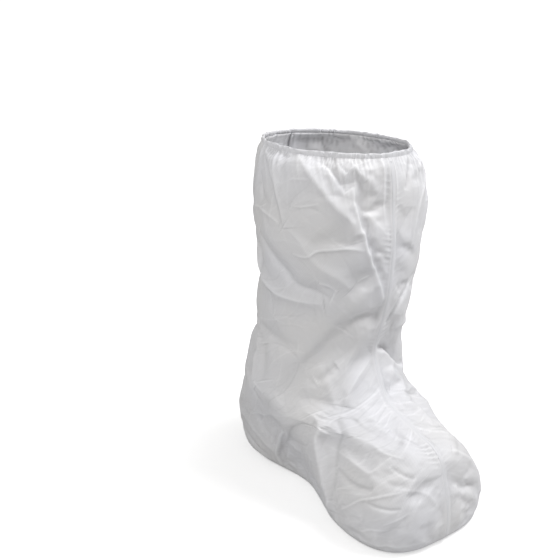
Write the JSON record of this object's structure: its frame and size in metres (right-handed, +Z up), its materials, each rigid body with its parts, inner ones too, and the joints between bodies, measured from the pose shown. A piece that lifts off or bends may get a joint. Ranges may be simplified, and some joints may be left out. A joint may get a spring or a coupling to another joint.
{
  "type": "boot cover",
  "caption": "Tall disposable boot cover of thin white bonded cloth, sewn from two side panels, with a gathered elastic hem and an open mouth to pull over a boot.",
  "frame": {"origin": "middle of the footprint, on the floor", "axes": "+Z up, the toe towards -Y, the wearer's right towards -X"},
  "size_m": [0.2194, 0.3734, 0.4489],
  "materials": {
    "cloth": "white film-laminated bonded cloth, smooth with a faint sheen and an even point bond",
    "seam": "the same cloth, puckered along white sewing thread",
    "hem": "the same cloth folded over hidden elastic and gathered"
  },
  "bodies": {
    "root": {"right_panel": "cloth", "left_panel": "cloth", "centre_seam": "seam", "top_hem": "hem"}
  },
  "joints": []
}
